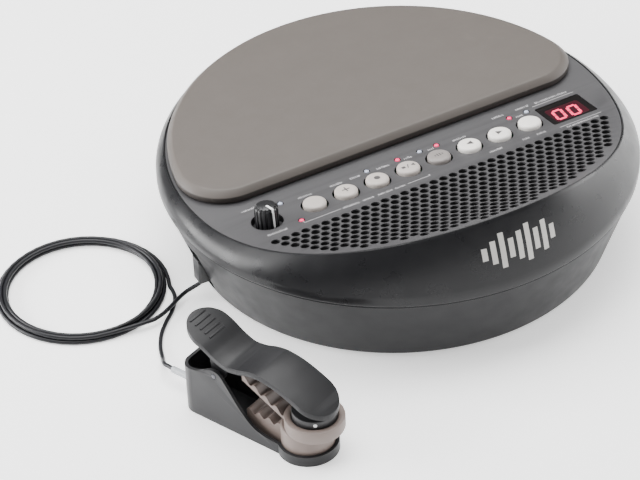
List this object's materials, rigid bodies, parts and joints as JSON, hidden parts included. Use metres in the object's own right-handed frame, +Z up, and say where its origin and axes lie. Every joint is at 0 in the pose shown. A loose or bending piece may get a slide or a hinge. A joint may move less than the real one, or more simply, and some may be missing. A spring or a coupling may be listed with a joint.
{
  "type": "electronic drum pad",
  "caption": "Round electronic drum pad with a rubber playing pad, control panel, loudspeaker grille and a clip sensor on a thin coiled lead.",
  "frame": {"origin": "on the table, under the middle of the box round the drum and its clip, the lead left out", "axes": "+Z up, +Y towards the player (the pad side), -Y the loudspeaker side, +X to the right seen from the loudspeaker side"},
  "size_m": [0.3852, 0.3118, 0.0947],
  "materials": {
    "upper_shell": "satin charcoal",
    "lower_shell": "satin charcoal, darker",
    "panel_plastic": "fine matt texture",
    "pad_rubber": "matt taupe",
    "key_light": "matt",
    "key_grey": "matt",
    "key_white": "matt",
    "knob_black": "satin",
    "socket_black": "satin",
    "window_smoked": "gloss",
    "lamp_lit": "glowing red",
    "lamp_clear": "clear",
    "display_parts": "matt",
    "circuit_board": "solder mask",
    "foam": "open cell",
    "steel": "brushed",
    "brass_disc": "plain",
    "magnet_iron": "plain",
    "cone_paper": "pressed paper",
    "foot_rubber": "matt",
    "clip_plastic": "fine texture",
    "liner_rubber": "matt taupe",
    "sleeve_clear": "translucent",
    "cord_black": "satin"
  },
  "bodies": {
    "root": {"lower_case": "lower_shell", "upper_case": "upper_shell", "top_panel": "panel_plastic", "drum_pad": "pad_rubber", "pad_gasket": "foam", "pad_plate": "steel", "head_sensor": "brass_disc", "volume_pot": "steel", "display_window": "window_smoked", "display_module": "display_parts", "panel_board": "circuit_board", "speaker_frame": "steel", "speaker_cone": "cone_paper", "speaker_magnet": "magnet_iron", "main_board": "circuit_board", "battery_box": "socket_black", "phones_jack": "socket_black", "aux_jack": "socket_black", "dc_jack": "socket_black", "clip_jack": "socket_black", "clip_plug": "socket_black", "clip_base": "clip_plastic", "clip_pin": "steel", "lower_liner": "liner_rubber", "clip_spring": "steel", "strain_relief": "sleeve_clear", "lead_to_coil": "cord_black", "lead_to_clip": "cord_black", "cord_coil": "cord_black", "led_1": "lamp_lit", "led_2": "lamp_clear", "led_3": "lamp_clear", "led_4": "lamp_lit", "led_5": "lamp_clear", "led_6": "lamp_lit", "led_7": "lamp_lit", "led_8": "lamp_clear", "foot_1": "foot_rubber", "case_screw_1": "steel", "foot_2": "foot_rubber", "case_screw_2": "steel", "foot_3": "foot_rubber", "case_screw_3": "steel", "foot_4": "foot_rubber", "case_screw_4": "steel"},
    "volume_knob": {"volume_knob": "knob_black"},
    "clip_lever": {"clip_lever": "clip_plastic", "upper_liner": "liner_rubber", "piezo_housing": "socket_black"},
    "battery_cover": {"battery_cover": "lower_shell"},
    "power_switch": {"power_switch": "socket_black"},
    "button_1": {"button_1": "key_light"},
    "button_2": {"button_2": "key_light"},
    "button_3": {"button_3": "key_light"},
    "button_4": {"button_4": "key_light"},
    "button_5": {"button_5": "key_grey"},
    "button_6": {"button_6": "key_white"},
    "button_7": {"button_7": "key_white"},
    "button_8": {"button_8": "key_white"}
  },
  "joints": [
    {"name": "button_1_press", "type": "slide", "parent": "root", "child": "button_1", "axis": [0, -0.0927, -0.9957], "range_m": [0, 0.0015], "stiffness_N_per_m": 200, "springref_m": -0.002},
    {"name": "button_2_press", "type": "slide", "parent": "root", "child": "button_2", "axis": [0, -0.0927, -0.9957], "range_m": [0, 0.0015], "stiffness_N_per_m": 200, "springref_m": -0.002},
    {"name": "button_3_press", "type": "slide", "parent": "root", "child": "button_3", "axis": [0, -0.0927, -0.9957], "range_m": [0, 0.0015], "stiffness_N_per_m": 200, "springref_m": -0.002},
    {"name": "button_4_press", "type": "slide", "parent": "root", "child": "button_4", "axis": [0, -0.0927, -0.9957], "range_m": [0, 0.0015], "stiffness_N_per_m": 200, "springref_m": -0.002},
    {"name": "button_5_press", "type": "slide", "parent": "root", "child": "button_5", "axis": [0, -0.0927, -0.9957], "range_m": [0, 0.0015], "stiffness_N_per_m": 200, "springref_m": -0.002},
    {"name": "button_6_press", "type": "slide", "parent": "root", "child": "button_6", "axis": [0, -0.0927, -0.9957], "range_m": [0, 0.0015], "stiffness_N_per_m": 200, "springref_m": -0.002},
    {"name": "button_7_press", "type": "slide", "parent": "root", "child": "button_7", "axis": [0, -0.0927, -0.9957], "range_m": [0, 0.0015], "stiffness_N_per_m": 200, "springref_m": -0.002},
    {"name": "button_8_press", "type": "slide", "parent": "root", "child": "button_8", "axis": [0, -0.0927, -0.9957], "range_m": [0, 0.0015], "stiffness_N_per_m": 200, "springref_m": -0.002},
    {"name": "volume_turn", "type": "hinge", "parent": "root", "child": "volume_knob", "pos_m": [-0.08223, -0.01709, 0.06509], "axis": [0, 0.0887, 0.9961], "range_deg": [-150, 150]},
    {"name": "clip_open", "type": "hinge", "parent": "root", "child": "clip_lever", "pos_m": [-0.14515, -0.08382, 0.034], "axis": [-0.9272, -0.3746, 0], "range_deg": [0, 24], "stiffness_Nm_per_rad": 0.6, "springref_deg": -20.05, "deforming": ["clip_spring"]},
    {"name": "battery_cover_slide", "type": "slide", "parent": "root", "child": "battery_cover", "axis": [0, 1, 0], "range_m": [0, 0.013]},
    {"name": "power_slide", "type": "slide", "parent": "root", "child": "power_switch", "axis": [-0.7314, -0.682, 0], "range_m": [0, 0.004]}
  ]
}
